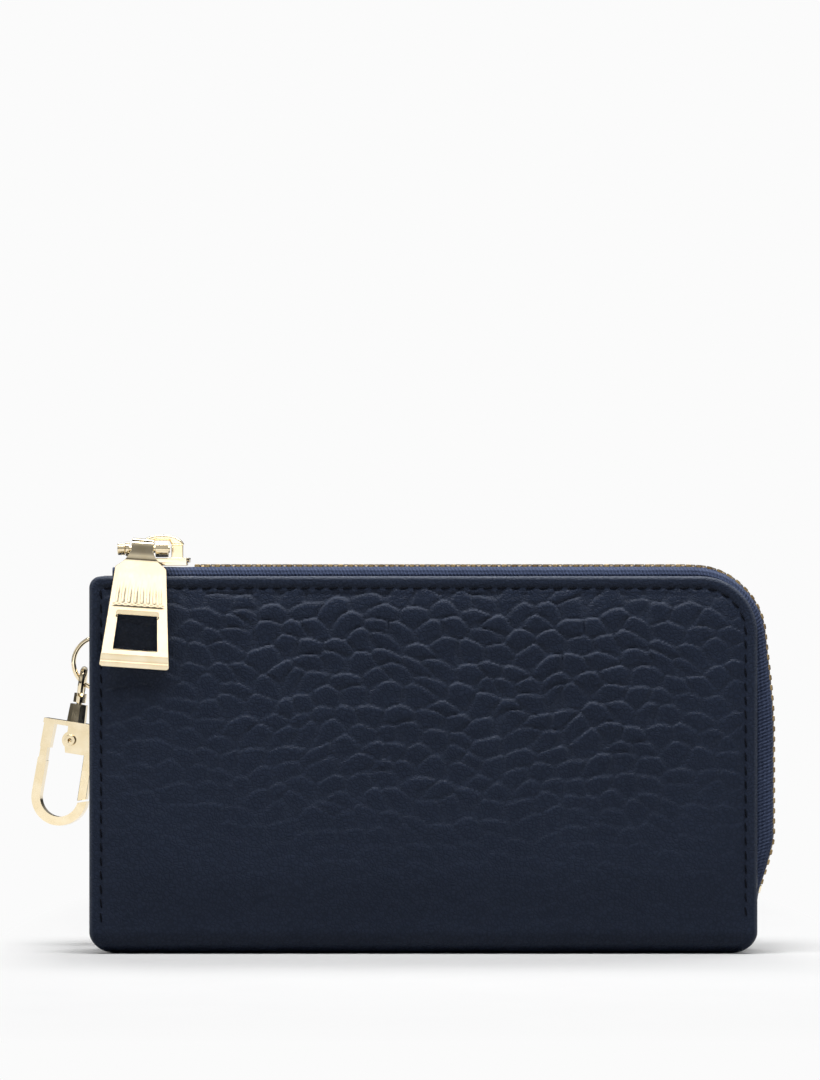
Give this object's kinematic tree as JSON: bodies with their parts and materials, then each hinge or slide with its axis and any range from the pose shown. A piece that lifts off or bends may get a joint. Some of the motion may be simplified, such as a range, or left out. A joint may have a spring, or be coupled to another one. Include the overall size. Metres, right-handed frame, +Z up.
{
  "type": "zip-round card holder",
  "caption": "Slim padded leather card holder with an L-shaped metal zip, a slotted pull tab and a swivel trigger clasp on a split ring.",
  "frame": {"origin": "centre of the flat base that the card holder stands on, midway between front and back", "axes": "+X along the wallet towards the side that the zip runs down, +Y through it towards the back, +Z up"},
  "size_m": [0.158, 0.0285, 0.0881],
  "materials": {
    "pebbled_leather": "pebbled navy grain, semi-matte",
    "smooth_leather": "fine navy grain, semi-matte",
    "lining_cloth": "fine twill",
    "zip_tape": "woven herringbone tape",
    "zip_teeth": "plated, softly worn",
    "polished_gold": "polished light gold plate",
    "spring_steel": "tempered strip"
  },
  "bodies": {
    "shell": {"back_panel": "pebbled_leather", "back_lining": "lining_cloth", "back_zip_tape": "zip_tape", "back_teeth": "zip_teeth", "back_top_stop": "zip_teeth", "zip_bottom_stop": "zip_teeth", "left_gusset": "smooth_leather", "zip_end_gusset": "smooth_leather", "card_slot_1": "smooth_leather", "card_slot_2": "smooth_leather", "card_slot_3": "smooth_leather", "card_slot_4": "smooth_leather", "ring_tab": "smooth_leather"},
    "front": {"front_panel": "pebbled_leather", "front_lining": "lining_cloth", "front_slip_pocket": "lining_cloth", "front_zip_tape": "zip_tape", "front_teeth": "zip_teeth", "front_top_stop": "zip_teeth"},
    "slider": {"slider_body": "polished_gold", "slider_crown": "polished_gold"},
    "link": {"pull_link": "polished_gold", "pull_pin": "polished_gold"},
    "puller": {"pull_tab": "polished_gold"},
    "ring": {"split_ring": "polished_gold"},
    "eye": {"swivel_eye": "polished_gold"},
    "hook": {"hook_body": "polished_gold", "gate_pin": "polished_gold", "gate_spring": "spring_steel"},
    "gate": {"gate_lever": "polished_gold"}
  },
  "joints": [
    {"name": "front_cover", "type": "hinge", "parent": "shell", "child": "front", "pos_m": [0, -0.00693, 0.00207], "axis": [1, 0, 0], "range_deg": [0, 30], "deforming": ["left_gusset", "zip_end_gusset"]},
    {"name": "slider_travel", "type": "slide", "parent": "front", "child": "slider", "axis": [1, 0, 0], "range_m": [0, 0.104], "deforming": ["front_teeth", "back_teeth"]},
    {"name": "link_lift", "type": "hinge", "parent": "slider", "child": "link", "pos_m": [-0.058, 0, 0.085], "axis": [-1, 0, 0], "range_deg": [0, 20]},
    {"name": "tab_swing", "type": "hinge", "parent": "link", "child": "puller", "pos_m": [-0.0589, -0.0089, 0.0851], "axis": [-1, 0, 0], "range_deg": [0, 150]},
    {"name": "ring_swing", "type": "hinge", "parent": "shell", "child": "ring", "pos_m": [-0.0691, 0.0119, 0.06595], "axis": [1, 0, 0], "range_deg": [0, 90]},
    {"name": "eye_swing", "type": "hinge", "parent": "ring", "child": "eye", "pos_m": [-0.07276, 0.0124, 0.0566], "axis": [0, 1, 0], "range_deg": [-10, 20]},
    {"name": "clasp_swivel", "type": "hinge", "parent": "eye", "child": "hook", "pos_m": [-0.0741, 0.0124, 0.0476], "axis": [0.1478, 0, 0.989], "range_deg": [0, 115]},
    {"name": "gate_open", "type": "hinge", "parent": "hook", "child": "gate", "pos_m": [-0.0748, 0.01244, 0.04427], "axis": [0.1887, 0.9816, -0.0282], "range_deg": [0, 25], "stiffness_Nm_per_rad": 0.001, "springref_deg": -20.05}
  ]
}
